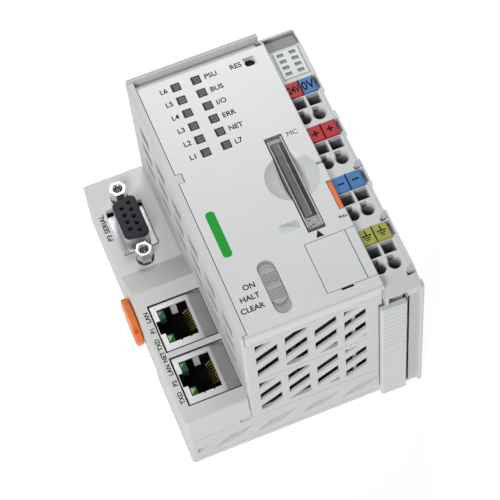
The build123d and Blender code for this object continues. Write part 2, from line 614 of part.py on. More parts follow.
def jack_cavity(y0, grow, z0):
    """Plug opening with its latch notch."""
    g = grow
    room = block(CAVITY_X[0] - g, CAVITY_X[1] + g, y0 + CAVITY_Y[0] - g, y0 + CAVITY_Y[1] + g, z0, 40)
    return room + block(3.9 - g * 0.3, 6.0, y0 + NOTCH_Y[0] - g, y0 + NOTCH_Y[1] + g, z0, 40)


def jack_shell(y0):
    """Screened jack housing with a contact spring at the plug opening."""
    shell = block(JACK_X0, JACK_X0 + JACK_W, y0, y0 + JACK_L, BOARD_Z + 0.05, JACK_TOP)
    shell -= prism_y([(15.7, JACK_TOP + 0.01), (22, JACK_TOP + 0.01), (22, JACK_TOP - 1.1)], y0 - 1, y0 + 20)
    shell = fillet(edges_at(shell, x=JACK_X0, z=JACK_TOP), 0.2)
    shell -= jack_cavity(y0, 0.9, BOARD_Z + 1.4)
    top = JACK_TOP
    lip = block(3.65, 15.69, y0 + 1.4, y0 + 16.2, top - 0.5, top - 0.05)
    lip += block(15.3, 16.4, y0 + 1.4, y0 + 16.2, top - 0.7, top - 0.2)
    shell += lip - jack_cavity(y0, 0, 10)
    edge = y0 + CAVITY_Y[1] + 0.05
    shell += prism_x([(edge + 0.3, top - 0.5), (edge + 0.3, top - 0.05), (edge - 1.9, top - 2.7),
                      (edge - 1.9, top - 3.1)], 10.1, 12.1)
    for x in (9.4, 12.6):
        shell -= block(x, x + 0.5, y0 + CAVITY_Y[0] - 0.35, y0 + CAVITY_Y[0] + 0.1, top - 0.6, top + 1)
    return shell


def jack_insert(y0):
    """Black inner lining of the jack."""
    room = jack_cavity(y0, 0.82, BOARD_Z + 1.45) & block(0, 30, 0, 60, 0, JACK_TOP - 0.75)
    insert = room - jack_cavity(y0, 0.02, BOARD_Z + 2.6)
    for corner in (CAVITY_Y[0], CAVITY_Y[1] - 3.6):
        insert -= block(4.0, 7.9, y0 + corner - 0.9, y0 + corner + 4.5, 24.0, 40)
    edge = y0 + CAVITY_Y[1]
    return insert - block(9.9, 12.3, edge - 2.2, edge + 1.0, 27.2, 40)


def jack_contacts(y0):
    """Eight gold contact wires along the right side of the plug opening."""
    wires = []
    middle = y0 + (CAVITY_Y[0] + CAVITY_Y[1]) / 2
    for i in range(8):
        y = middle + (i - 3.5) * 1.016
        wires.append(prism_y([(15.3, 20.2), (15.3, 19.7), (13.2, 28.0), (14.9, 29.6), (15.3, 29.6),
                              (13.9, 28.0)], y - 0.15, y + 0.15))
    return total(wires)


def jack_leds(y0):
    """Two indicator light guides in the left corners of the plug opening."""
    guides = []
    for corner in (CAVITY_Y[0] + 0.05, CAVITY_Y[1] - 3.35):
        guide = block(5.5, 7.6, y0 + corner, y0 + corner + 3.2, 27.4, JACK_TOP - 0.6)
        guides.append(guide)
    return total(guides)


# ---------------------------------------------------------------- terminal section
def wire_xy():
    """Centres of the eight wire entries."""
    return [(x0 + WIRE_X, top - WIRE_DROP) for top in ROW_TOPS for x0 in COLUMNS]


def terminal_openings():
    """Marker pockets, clamp-release openings and wire entries, for the face and the carrier."""
    cuts = []
    for top in ROW_TOPS:
        cuts.append(block(COLUMNS[0] - 0.15, 77.0, top - PLATE_H - 0.1, top + 0.1, TERM_Z - 1.4, 80))
        for cx in COLUMNS:
            sx = cx + 0.1
            sy = top - SLOT_DROP
            cuts.append(block(sx, sx + SLOT_SIZE[0], sy - SLOT_SIZE[1], sy, 56, 80))
    for wx, wy in wire_xy():
        cuts.append(rod_z(wx, wy, 53, 80, WIRE_R))
        cuts.append(Pos(wx, wy, TERM_Z - 0.2) * Cone(WIRE_R, WIRE_R + 0.45, 0.42))
        cuts.append(block(wx - 1.6, wx + 0.5, wy + 1.0, wy + 3.0, TERM_Z - 3.0, 80))
    return total(cuts)


def end_outline(y_top, z_top):
    """Bottom-end profile of the terminal section: wall, hood and slope."""
    return [(TERM_END, HOOD_Z + 0.4), (-LATCH_PROUD, HOOD_Z + 1.1), (-LATCH_PROUD, HOOD_Z + 1.9), (y_top, z_top)]


def terminal_housing():
    """Narrow terminal section: face, walls, top recess and the pocket above the latch."""
    x0, x1 = X_TERM, 77.3
    outline = [(TERM_END, 1.0)] + end_outline(4.8, TERM_Z) + [
        (92.8, TERM_Z), (92.8, 66.6), (99.0, 64.6), (99.0, 67.3), (99.8, 67.3), (99.8, 0), (2.0, 0), (2.0, 1.0)]
    body = prism_x(outline, x0, x1)
    edge = [(TERM_END, 62.0)] + end_outline(4.8, TERM_EDGE_Z) + [
        (92.6, TERM_EDGE_Z), (98.9, 67.8), (99.6, 67.0), (99.6, 62.0)]
    right = prism_x(edge, x1 - 0.05, WIDTH)
    right = fillet(edges_at(right, x=WIDTH), 0.3)
    body = body + right
    body -= block(x0 + 0.9, x1, 3.0, 80.1, 9.2, CLAMP_Z[1])
    body -= block(x0 + 0.9, x1, 80.0, 97.8, 9.2, 63.0)
    body -= block(x1 - 0.1, x1 + 3, 3.0, 97.8, 9.2, 61.0)
    body -= rail_recess(x0 - 1, x1 + 2)
    body -= prism_x([(-3, -1), (0.1, -1), (0.4, 10.0), (1.9, HOOD_Z), (-3, HOOD_Z)], x0 - 1, 74.45)
    body -= block(68.2, 74.3, -3, 2.4, 57, HOOD_Z)
    body += block(66.95, 68.15, TERM_END, 2.2, 60.0, HOOD_Z + 0.1)
    body -= prism_x([(92.8, 66.6), (99.0, 64.6), (99.0, 80), (92.8, 80)], x1 - 0.1, 78.1)
    for y0, y1 in RIM_GAPS:
        body -= block(77.95, 80, y0, y1, 61, 80)
    body -= block(RIB_X[0] - 0.05, 80, -3, 0.5, 50, 66.25)
    body -= terminal_openings()
    for top in ROW_TOPS:
        body -= block(76.9, 77.9, top - 5.6, top - 0.3, TERM_Z - 2.4, 80)
    for y in POWER_SLOTS:
        body -= block(75.6, 78.15, y, y + 1.3, 63.0, 80)
        body -= prism_x([(y + 1.2, TERM_Z - 1.1), (y + 2.6, TERM_Z + 0.1), (y + 2.6, 80), (y + 1.2, 80)],
                        76.3, 78.15)
    body -= block(68.3, 77.05, 81.2, 92.1, TERM_Z - 2.2, 80)
    body -= block(x0 - 1, x0 + 1.2, 10, 70, 20, 34)
    body -= block(x0 - 1, TAB_X[1] + 0.2, TAB_Y[0] - 0.2, TAB_Y[1] + 0.2, 46, 80)
    return body


def clamp_carrier():
    """Dark insert under the terminal face that holds the eight clamps."""
    z0, z1 = CLAMP_Z
    body = block(X_TERM + 0.9, 77.3, 3.0, 80.1, z0, z1)
    for wx, wy in wire_xy():
        body -= block(max(wx - 1.8, X_TERM + 1.0), wx + 1.8, wy - 2.8, wy + 6.7, z0 - 1, 54)
    body -= terminal_openings()
    for top in ROW_TOPS:
        body -= block(76.9, 78, top - 5.6, top - 0.3, TERM_Z - 2.4, 80)
    for y in POWER_SLOTS:
        body -= block(75.6, 78.15, y, y + 1.3, 63.0, 80)
    body -= block(X_TERM, TAB_X[1] + 0.2, TAB_Y[0] - 0.2, TAB_Y[1] + 0.2, 46, 80)
    return body


def terminal_side_cover():
    """Right side plate with the guide rib and the jumper-contact slots."""
    x0, x1 = 77.35, WIDTH
    outline = [(TERM_END, 1.0), (TERM_END, SIDE_Z), (99.6, SIDE_Z), (99.6, 0.2), (3.0, 0.2)]
    plate = prism_x(outline, x0, x1)
    plate = fillet(edges_at(plate, x=x1, z=0.2) + edges_at(plate, x=x1, y=99.6), 0.35)
    rib = prism_x([(-LATCH_PROUD, 1.6), (-1.4, 0.6), (0.3, 0.6), (0.3, 66.15), (-1.2, 66.15),
                   (-LATCH_PROUD, 65.2)], RIB_X[0], RIB_X[1])
    plate += fillet(edges_at(rib, x=RIB_X[1], y=-LATCH_PROUD) + edges_at(rib, x=RIB_X[0], y=-LATCH_PROUD), 0.45)
    plate -= rail_recess(x0 - 1, x1 + 1)
    for y in POWER_SLOTS:
        plate -= block(x0 - 1, x1 + 1, y + 0.1, y + 1.2, 50.0, 80)
    for i in range(6):
        z = 24.0 + i * 3.6
        plate -= block(x0 - 1, x1 + 1, 69.0, 72.0, z, z + 2.0)
    return plate


def marker_carrier():
    """Sloped darker plate at the top end of the terminal section."""
    return prism_x([(92.95, 66.6), (92.95, 67.9), (98.85, 66.1), (98.85, 64.7)], 66.6, 77.9)


def light_guide_block():
    """Clear block with eight indicator cells."""
    body = block(68.4, 76.95, 81.3, 92.0, TERM_Z - 2.2, TERM_Z + 0.3)
    body = fillet(edges_at(body, z=TERM_Z + 0.3), 0.25)
    for column in CELL_X:
        for i in range(4):
            y = 82.3 + i * CELL_PITCH
            body -= block(column - 1.1, column + 1.1, y, y + 1.5, TERM_Z - 0.4, 80)
    return body


def marker_plate(column, top):
    """One coloured marker plate with rounded edges."""
    plate = block(column, column + PLATE_W, top - PLATE_H, top, TERM_Z - 1.35, TERM_Z + 0.4)
    return fillet(edges_at(plate, z=TERM_Z + 0.4), 0.35)


def marker_plates(which):
    """Marker plates given as (column, row) numbers."""
    return total([marker_plate(COLUMNS[c], ROW_TOPS[r]) for c, r in which])


def spring_clamps():
    """Eight bent spring clamps behind the wire entries."""
    clamps = []
    for wx, wy in wire_xy():
        x0, x1 = max(wx - 1.6, X_TERM + 1.1), wx + 1.6
        outline = [(wy - 2.6, 38.0), (wy - 2.6, 51.0), (wy + 6.5, 51.0), (wy + 6.5, 44.0),
                   (wy - 1.0, 40.6), (wy - 1.0, 41.4), (wy + 5.8, 44.6), (wy + 5.8, 50.3),
                   (wy - 1.9, 50.3), (wy - 1.9, 38.0)]
        clamp = prism_x(outline, x0, x1)
        clamps.append(clamp - rod_z(wx, wy, 49, 55, 1.2))
    return total(clamps)


def busbars():
    """Three current bars that join the rows and lead to the jumper contacts."""
    bars = []
    for top in ROW_TOPS:
        y = top - WIRE_DROP - 3.25
        bars.append(block(X_TERM + 1.4, 77.2, y, y + 0.62, 30.0, 39.8))
    return total(bars)


def power_jumper_contacts():
    """Three spring tongues in the slots of the right side plate."""
    return total([block(77.35, 78.3, y + 0.2, y + 1.0, 50.2, 61.6) for y in POWER_SLOTS])


def data_contacts():
    """Six flat data contacts in the right side plate."""
    pads = []
    for i in range(6):
        z = 24.1 + i * 3.6
        pads.append(block(77.35, 78.45, 69.1, 71.9, z, z + 1.8))
    return total(pads)


def release_tab():
    """Pull tab between the main section and the terminals."""
    tab = block(TAB_X[0], TAB_X[1], TAB_Y[0], TAB_Y[1], 47.0, 70.9)
    return fillet(edges_at(tab, z=70.9), 0.3)


def side_latch():
    """Ribbed latch arm at the bottom end, held at its foot."""
    x0, x1 = LATCH_X
    arm = block(x0, x1, -LATCH_PROUD, -0.25, 0.3, LATCH_TOP)
    arm = chamfer(edges_at(arm, y=-LATCH_PROUD, x=x0), 0.6)
    arm = fillet(edges_at(arm, y=-LATCH_PROUD, x=x1) + edges_at(arm, y=-LATCH_PROUD, z=LATCH_TOP), 0.35)
    for i in range(10):
        z = 34.2 + i * 2.6
        arm -= prism_x([(-3, z - 1.15), (-LATCH_PROUD + 0.45, z), (-3, z + 1.15)], x0 + 0.9, x1 - 0.45)
    return arm


# ---------------------------------------------------------------- electronics
def front_board():
    """Board behind the front cover."""
    z0, z1 = FRONT_BOARD_Z
    board = block(25.0, 64.2, 3.4, 96.0, z0, z1)
    return board - block(53.2, 59.4, 28.6, 58.4, z0 - 1, z1 + 1)


def main_board():
    """Processor board, on edge under the front board."""
    return block(MAIN_BOARD_X[0], MAIN_BOARD_X[1], 4.0, 96.0, 16.6, 58.2)


def power_board():
    """Power-supply board, on edge beside the terminal section."""
    return block(POWER_BOARD_X[0], POWER_BOARD_X[1], 6.0, 94.0, 16.6, 58.2)


def connector_board():
    """Board that carries the jacks and the serial connector."""
    board = block(6.4, 64.0, 3.0, 97.0, BOARD_Z - 1.6, BOARD_Z)
    for x, y in ((30.0, 12.0), (56.0, 12.0), (30.0, 88.0), (56.0, 88.0)):
        board -= rod_z(x, y, 10, 20, 1.3)
    return board


def board_screws():
    """Four screws that hold the connector board to the rear tray."""
    screws = []
    for x, y in ((30.0, 12.0), (56.0, 12.0), (30.0, 88.0), (56.0, 88.0)):
        head = rod_z(x, y, BOARD_Z + 0.02, BOARD_Z + 1.6, 2.3)
        head -= block(x - 1.6, x + 1.6, y - 0.25, y + 0.25, BOARD_Z + 1.0, BOARD_Z + 3)
        screws.append(head + rod_z(x, y, 6.5, BOARD_Z + 0.1, 1.0))
    return total(screws)


def processor():
    """Processor package on the main board."""
    return block(MAIN_BOARD_X[1], MAIN_BOARD_X[1] + 1.8, 40.0, 57.0, 30.0, 47.0)


def heat_sink():
    """Finned heat sink on the processor."""
    x0 = MAIN_BOARD_X[1] + 1.8
    sink = block(x0, x0 + 1.5, 38.0, 59.0, 28.0, 49.0)
    for i in range(7):
        y = 38.0 + i * 3.25
        sink += block(x0 + 1.4, x0 + 8.0, y, y + 1.4, 28.0, 49.0)
    return sink


def memory_chips():
    """Memory packages beside the processor."""
    chips = []
    for y, z in ((66.0, 30.0), (66.0, 42.0), (24.0, 30.0), (24.0, 42.0)):
        chips.append(block(MAIN_BOARD_X[1], MAIN_BOARD_X[1] + 1.2, y, y + 10.0, z, z + 8.0))
    return total(chips)


def capacitors():
    """Four electrolytic capacitors on the power board."""
    cans = []
    for y, z in ((70.0, 24.0), (82.0, 24.0), (70.0, 40.0), (82.0, 40.0)):
        can = rod_x(POWER_BOARD_X[0] - 13.5, POWER_BOARD_X[0], y, z, 5.0)
        cans.append(fillet(edges_at(can, x=POWER_BOARD_X[0] - 13.5), 0.5))
    return total(cans)


def inductor():
    """Square power inductor."""
    return block(POWER_BOARD_X[0] - 6.5, POWER_BOARD_X[0], 12.0, 24.0, 24.0, 36.0)


def transformers():
    """Two network transformers on the connector board."""
    return block(24.5, 33.0, 22.0, 38.0, BOARD_Z, 22.6) + block(24.5, 33.0, 42.0, 58.0, BOARD_Z, 22.6)


def board_connectors():
    """Plug strips that join the connector board to the two upright boards."""
    strips = []
    for x0 in (MAIN_BOARD_X[1], POWER_BOARD_X[0] - 2.6):
        for y in (46.0, 30.0):
            strips.append(block(x0, x0 + 2.6, y, y + 12.0, BOARD_Z, 24.0))
    return total(strips)


NODES = {
    "rear_housing": rear_housing,
    "connector_housing": connector_housing,
    "main_housing": main_housing,
    "vented_ends": vented_ends,
    "vent_baffles": vent_baffles,
    "front_cover": front_cover,
    "led_windows": led_windows,
    "reset_button": reset_button,
    "reset_switch": reset_switch,
    "mode_slider": mode_slider,
    "mode_switch": mode_switch,
    "card_cover": card_cover,
    "card_socket": card_socket,
    "service_flap": service_flap,
    "flap_hinge_strip": flap_hinge_strip,
    "service_connector": service_connector,
    "service_pins": service_pins,
    "locking_disc": locking_disc,
    "rail_claw": rail_claw,
    "rail_earth_contact": rail_earth_contact,
    "serial_shell": serial_shell,
    "serial_bracket": serial_bracket,
    "serial_insulator": serial_insulator,
    "serial_contacts": serial_contacts,
    "hex_standoffs": hex_standoffs,
    "terminal_housing": terminal_housing,
    "clamp_carrier": clamp_carrier,
    "terminal_side_cover": terminal_side_cover,
    "marker_carrier": marker_carrier,
    "light_guide_block": light_guide_block,
    "markers_red": lambda: marker_plates([(0, 0), (0, 1), (1, 1)]),
    "markers_blue": lambda: marker_plates([(1, 0), (0, 2), (1, 2)]),
    "markers_earth": lambda: marker_plates([(0, 3), (1, 3)]),
    "spring_clamps": spring_clamps,
    "busbars": busbars,
    "power_jumper_contacts": power_jumper_contacts,
    "data_contacts": data_contacts,
    "release_tab": release_tab,
    "side_latch": side_latch,
    "front_board": front_board,
    "main_board": main_board,
    "power_board": power_board,
    "connector_board": connector_board,
    "board_screws": board_screws,
    "processor": processor,
    "heat_sink": heat_sink,
    "memory_chips": memory_chips,
    "capacitors": capacitors,
    "inductor": inductor,
    "transformers": transformers,
    "board_connectors": board_connectors,
}

os.makedirs("parts", exist_ok=True)
for name, make in NODES.items():
    export_step(make().moved(TO_ORIGIN), f"parts/{name}.step")
for key, y_low in JACKS.items():
    for kind, make in (("shell", jack_shell), ("insert", jack_insert),
                       ("contacts", jack_contacts), ("leds", jack_leds)):
        export_step(make(y_low).moved(TO_ORIGIN), f"parts/jack_{kind}_{key}.step")
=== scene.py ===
import bpy
import json
import math
from mathutils import Matrix, Vector


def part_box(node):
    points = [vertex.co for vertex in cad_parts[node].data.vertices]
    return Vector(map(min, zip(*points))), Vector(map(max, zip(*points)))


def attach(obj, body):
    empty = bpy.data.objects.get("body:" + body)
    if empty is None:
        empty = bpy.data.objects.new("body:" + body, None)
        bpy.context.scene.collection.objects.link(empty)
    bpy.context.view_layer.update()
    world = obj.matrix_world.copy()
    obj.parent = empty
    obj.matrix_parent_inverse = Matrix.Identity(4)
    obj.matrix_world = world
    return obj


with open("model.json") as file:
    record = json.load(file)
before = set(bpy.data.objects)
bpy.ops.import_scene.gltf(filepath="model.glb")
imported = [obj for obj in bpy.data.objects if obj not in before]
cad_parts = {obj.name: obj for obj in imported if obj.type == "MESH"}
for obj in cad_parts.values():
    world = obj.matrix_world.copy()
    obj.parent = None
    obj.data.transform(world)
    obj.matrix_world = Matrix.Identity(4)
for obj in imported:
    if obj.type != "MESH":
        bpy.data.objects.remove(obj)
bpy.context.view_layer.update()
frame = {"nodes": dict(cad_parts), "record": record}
NODES = frame["nodes"]
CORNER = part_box("rear_housing")[0]

# Sizes and places are in millimetres, places from the module's lower left rear corner.
FACE_Z = 71.4           # front cover
LAMP_Z = 71.3           # lamp windows
LID_Z = 71.8            # card lid
RECESS_Z = 70.6         # floor of the slider's recess and of the flap's finger slot
MARK_Z = 68.8           # marker plates
CELL_Z = 68.01          # carrier of the indicator cells
JACK_Z = 31.0           # faces of the network jacks
JACK_TEXT_Z = 31.4      # top of the jack platform
SERIAL_TEXT_Z = 20.9    # top of the serial platform
INK = 0.02              # thickness of print, and of the layers in the lamps and the lid
SHEET = 0.03            # thickness of a thin piece
GAP_DEPTH = 0.3         # thickness of the dark filling of a gap


def at(x, y, z):
    """Point of the row frame for a place in millimetres."""
    return Vector((CORNER.x + x / 1000, CORNER.y + y / 1000, CORNER.z + z / 1000))


# ------------------------------------------------------------------ materials
DRIFT_SCALE, GLOSS_SCALE = 45, 420      # noise of a plastic's colour and of its gloss
GLOSS_SWING = 0.07                      # how far a plastic's roughness strays
SCRATCH = (900, 60, 60)                 # stretch of the scratches in metal
TARNISH = 0.94                          # darkest colour of metal, as a share of its own
FLOW = (900, 35, 60)                    # stretch of the streaks in clear plastic
CLEAR_IOR = 1.49
PLASTIC_RELIEF, METAL_RELIEF, CLEAR_RELIEF = 0.00004, 0.00002, 0.00005      # in metres


def new_material(name):
    """Node material with its tree's parts and its shader."""
    mat = bpy.data.materials.new(name)
    mat.use_nodes = True
    nodes = mat.node_tree.nodes
    return mat, nodes, mat.node_tree.links, nodes["Principled BSDF"]


def object_coords(nodes):
    """Coordinates that ride with the object."""
    return nodes.new("ShaderNodeTexCoord").outputs["Object"]


def stretched(nodes, links, coords, scale):
    """Coordinates scaled by another amount along each axis."""
    mapping = nodes.new("ShaderNodeMapping")
    mapping.inputs["Scale"].default_value = scale
    links.new(coords, mapping.inputs["Vector"])
    return mapping.outputs["Vector"]


def noise(nodes, links, coords, scale, detail):
    """Cloudy values from 0 to 1."""
    tex = nodes.new("ShaderNodeTexNoise")
    tex.inputs["Scale"].default_value = scale
    tex.inputs["Detail"].default_value = detail
    links.new(coords, tex.inputs["Vector"])
    return tex.outputs["Fac"]


def ramp(nodes, links, source, low, high, pos=(0.3, 0.7)):
    """Blend from one colour to another along the source's values."""
    node = nodes.new("ShaderNodeValToRGB")
    for element, colour, place in zip(node.color_ramp.elements, (low, high), pos):
        element.color = (*colour, 1)
        element.position = place
    links.new(source, node.inputs["Fac"])
    return node.outputs["Color"]


def spread(nodes, links, source, low, high):
    """Source's values moved from 0...1 to low...high."""
    node = nodes.new("ShaderNodeMapRange")
    node.inputs["To Min"].default_value = low
    node.inputs["To Max"].default_value = high
    links.new(source, node.inputs["Value"])
    return node.outputs["Result"]


def relief(nodes, links, bsdf, height, strength, depth):
    """Fine bumps on the shader's surface."""
    node = nodes.new("ShaderNodeBump")
    node.inputs["Strength"].default_value = strength
    node.inputs["Distance"].default_value = depth
    links.new(height, node.inputs["Height"])
    links.new(node.outputs["Normal"], bsdf.inputs["Normal"])


def plastic(name, colour, rough=0.42, grain=2600, bump=0.12, vary=0.02, specular=0.4):
    """Moulded plastic: eroded grain, slow colour drift and uneven gloss."""
    mat, nodes, links, bsdf = new_material(name)
    coords = object_coords(nodes)
    drift = noise(nodes, links, coords, DRIFT_SCALE, detail=3)
    low = [c * (1 - vary) for c in colour]
    high = [min(1, c * (1 + vary)) for c in colour]
    links.new(ramp(nodes, links, drift, low, high), bsdf.inputs["Base Color"])
    gloss = noise(nodes, links, coords, GLOSS_SCALE, detail=4)
    links.new(spread(nodes, links, gloss, rough - GLOSS_SWING, rough + GLOSS_SWING),
              bsdf.inputs["Roughness"])
    bsdf.inputs["Specular IOR Level"].default_value = specular
    relief(nodes, links, bsdf, noise(nodes, links, coords, grain, detail=3), bump, PLASTIC_RELIEF)
    return mat


def metal(name, colour, rough):
    """Plated or drawn metal with fine directional scratches."""
    mat, nodes, links, bsdf = new_material(name)
    coords = object_coords(nodes)
    lines = noise(nodes, links, stretched(nodes, links, coords, SCRATCH), scale=6, detail=4)
    cloud = noise(nodes, links, coords, scale=200, detail=2)
    links.new(ramp(nodes, links, cloud, [c * TARNISH for c in colour], colour),
              bsdf.inputs["Base Color"])
    links.new(spread(nodes, links, lines, rough * 0.7, rough * 1.4), bsdf.inputs["Roughness"])
    bsdf.inputs["Metallic"].default_value = 1
    relief(nodes, links, bsdf, lines, 0.1, METAL_RELIEF)
    return mat


def clear(name, colour, rough, transmission):
    """Smoked moulded plastic with faint flow waves and streaks along its length."""
    mat, nodes, links, bsdf = new_material(name)
    coords = object_coords(nodes)
    streaks = noise(nodes, links, stretched(nodes, links, coords, FLOW), scale=1, detail=2)
    links.new(ramp(nodes, links, streaks, [c * 0.7 for c in colour], [min(1, c * 1.3) for c in colour]),
              bsdf.inputs["Base Color"])
    bsdf.inputs["Transmission Weight"].default_value = transmission
    bsdf.inputs["IOR"].default_value = CLEAR_IOR
    gloss = noise(nodes, links, coords, scale=700, detail=2)
    links.new(spread(nodes, links, gloss, rough * 0.5, rough * 1.6), bsdf.inputs["Roughness"])
    relief(nodes, links, bsdf, noise(nodes, links, coords, scale=350, detail=2), 0.15, CLEAR_RELIEF)
    return mat


MATERIALS = {
    "housing": plastic("housing_plastic", (0.74, 0.745, 0.725), rough=0.5, specular=0.2),
    "cover": plastic("cover_plastic", (0.765, 0.785, 0.785), rough=0.3, specular=0.6),
    "terminal_plastic": plastic("terminal_plastic", (0.71, 0.725, 0.74)),
    "carrier": plastic("carrier_plastic", (0.30, 0.305, 0.305)),
    "window": plastic("window_plastic", (0.035, 0.037, 0.04), rough=0.5, specular=0.15, vary=0.3),
    "orange": plastic("orange_plastic", (0.90, 0.21, 0.035), rough=0.38),
    "clear": clear("clear_plastic", (0.22, 0.23, 0.235), rough=0.12, transmission=0.45),
    "black_plastic": plastic("black_plastic", (0.008, 0.008, 0.009), rough=0.6, specular=0.15),
    "dark_plastic": plastic("dark_plastic", (0.26, 0.265, 0.275), rough=0.5),
    "slate_plastic": plastic("slate_plastic", (0.032, 0.035, 0.042), rough=0.55, specular=0.2),
    "socket_plastic": plastic("socket_plastic", (0.6, 0.6, 0.56)),
    "steel": metal("zinc_steel", (0.62, 0.63, 0.65), 0.35),
    "nickel": metal("bright_nickel", (0.72, 0.72, 0.73), 0.22),
    "tinned": metal("tinned_steel", (0.86, 0.87, 0.89), 0.5),
    "gold": metal("gold_plating", (0.80, 0.58, 0.20), 0.25),
    "copper": metal("tinned_copper", (0.72, 0.45, 0.30), 0.3),
    "green_light": plastic("green_lens", (0.02, 0.095, 0.04), rough=0.25, specular=0.4),
    "milky": plastic("milky_lens", (0.72, 0.76, 0.76), rough=0.25),
    "red_marker": plastic("red_plastic", (0.55, 0.035, 0.045), rough=0.4, specular=0.2),
    "blue_marker": plastic("blue_plastic", (0.075, 0.235, 0.53), rough=0.4, specular=0.2),
    "earth_marker": plastic("yellow_green_plastic", (0.41, 0.42, 0.075), rough=0.35),
    "board": plastic("solder_mask", (0.02, 0.16, 0.05), rough=0.3),
    "aluminium": metal("anodised_aluminium", (0.2, 0.2, 0.21), 0.4),
    "can": metal("sleeved_can", (0.35, 0.38, 0.45), 0.35),
    "ferrite": plastic("ferrite_block", (0.03, 0.03, 0.03), rough=0.6),
    "rubber_button": plastic("plunger_plastic", (0.05, 0.05, 0.05)),
}
for entry in frame["record"]["subparts"]:
    mesh = NODES[entry["node"]].data
    mesh.materials.clear()
    mesh.materials.append(MATERIALS[entry["material_slot"]])


# ------------------------------------------------------------------ thin pieces
def slab(name, corners, shift, material, body="housing"):
    """Thin piece between an outline of (x, y, z) places and the same outline shifted."""
    n = len(corners)
    far = [[c + s for c, s in zip(corner, shift)] for corner in corners]
    faces = [tuple(range(n - 1, -1, -1)), tuple(range(n, 2 * n))]
    faces += [(i, (i + 1) % n, n + (i + 1) % n, n + i) for i in range(n)]
    mesh = bpy.data.meshes.new(name)
    mesh.from_pydata([tuple(at(*corner)) for corner in list(corners) + far], [], faces)
    mesh.update()
    obj = bpy.data.objects.new(name, mesh)
    bpy.context.scene.collection.objects.link(obj)
    mesh.materials.append(material)
    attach(obj, body)
    return obj


def plate(name, outline, z, thick, material, body="housing"):
    """Thin raised shape over a closed outline of (x, y) places."""
    return slab(name, [(x, y, z) for x, y in outline], (0, 0, thick), material, body)


def bar(name, x, y, half_w, half_h, z, thick, material, body="housing"):
    """Raised rectangle around a middle point."""
    return plate(name, [(x - half_w, y - half_h), (x + half_w, y - half_h), (x + half_w, y + half_h),
                        (x - half_w, y + half_h)], z, thick, material, body)


def slope_plate(name, x0, x1, y0, y1, z0, z1, material):
    """Thin plate that falls from z0 at x0 to z1 at x1."""
    return slab(name, [(x0, y0, z0), (x1, y0, z1), (x1, y1, z1), (x0, y1, z0)], (0, 0, SHEET), material)


def end_strip(name, x0, x1, foot, head, material):
    """Thin strip that stands at the bottom end, from its foot to its head, both (y, z)."""
    (y0, z0), (y1, z1) = foot, head
    y0, y1 = y0 + SHEET, y1 + SHEET
    return slab(name, [(x0, y0, z0), (x1, y0, z0), (x1, y1, z1), (x0, y1, z1)], (0, -SHEET, 0), material)


def side_sheet(name, x, outline, thick, material):
    """Thin sheet that faces the left side, over an outline of (y, z) places."""
    return slab(name, [(x, y, z) for y, z in outline], (thick, 0, 0), material)


def rounded(x0, x1, y0, y1, r, steps=5):
    """Outline of a rectangle with rounded corners."""
    outline = []
    for cx, cy, start in ((x1 - r, y1 - r, 0), (x0 + r, y1 - r, 90), (x0 + r, y0 + r, 180),
                          (x1 - r, y0 + r, 270)):
        for k in range(steps + 1):
            angle = math.radians(start + 90 * k / steps)
            outline.append((cx + r * math.cos(angle), cy + r * math.sin(angle)))
    return outline


def capsule_end(middle_x, y_flat, y_tip, half, steps=12):
    """Half of a round-ended outline, from its straight edge to its tip."""
    way = 1 if y_tip > y_flat else -1
    centre = y_tip - way * half
    outline = [(middle_x - half, y_flat), (middle_x + half, y_flat)]
    for k in range(steps + 1):
        angle = math.pi * k / steps
        outline.append((middle_x + half * math.cos(angle), centre + way * half * math.sin(angle)))
    return outline if way > 0 else outline[::-1]


# ------------------------------------------------------------------ printed marks
PRINT = plastic("dark_print", (0.018, 0.019, 0.021), rough=0.7, grain=5000, bump=0.05, specular=0.08)
GREEN_PRINT = plastic("green_print", (0.022, 0.40, 0.05), rough=0.6, grain=5000, bump=0.05,
                      specular=0.1)
CAP_SHARE = 0.69        # height of a capital as a share of the font's size
CAP, JACK_CAP, SERIAL_CAP, TAB_CAP = 1.75, 1.45, 1.65, 0.8


def label(name, text, x, y, z, cap, align="LEFT", turn=0.0, width=1.0, bold=0.055):
    """Printed text; x, y is the middle of its left, right or centre edge; cap is the letter height."""
    curve = bpy.data.curves.new(name, "FONT")
    curve.body = text
    curve.align_x = align
    curve.align_y = "CENTER"
    curve.size = cap / CAP_SHARE
    curve.offset = bold
    curve.extrude = INK / 2
    curve.resolution_u = 4
    holder = bpy.data.objects.new(name + "_curve", curve)
    bpy.context.scene.collection.objects.link(holder)
    depsgraph = bpy.context.evaluated_depsgraph_get()
    mesh = bpy.data.meshes.new_from_object(holder.evaluated_get(depsgraph))
    bpy.data.objects.remove(holder, do_unlink=True)
    heights = [v.co.y for v in mesh.vertices]
    middle = (max(heights) + min(heights)) / 2
    cos, sin = math.cos(math.radians(turn)), math.sin(math.radians(turn))
    for v in mesh.vertices:
        u, w = v.co.x * width, v.co.y - middle
        v.co = at(x + u * cos - w * sin, y + u * sin + w * cos, z + INK / 2 + v.co.z)
    mesh.materials.clear()
    mesh.materials.append(PRINT)
    obj = bpy.data.objects.new(name, mesh)
    bpy.context.scene.collection.objects.link(obj)
    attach(obj, "housing")


LAMP_X, LAMP_TOP_Y, LAMP_PITCH = (35.4, 42.2), 91.1, 5.26      # lamp columns, top row and row pitch
LAMP_TEXT_X = (32.5, 45.0)                                      # right edge and left edge of the names
JACKS = {"x1": 25.4, "x2": 5.4}                                 # lower edge of each network jack
JACK_TEXT_X = 1.9

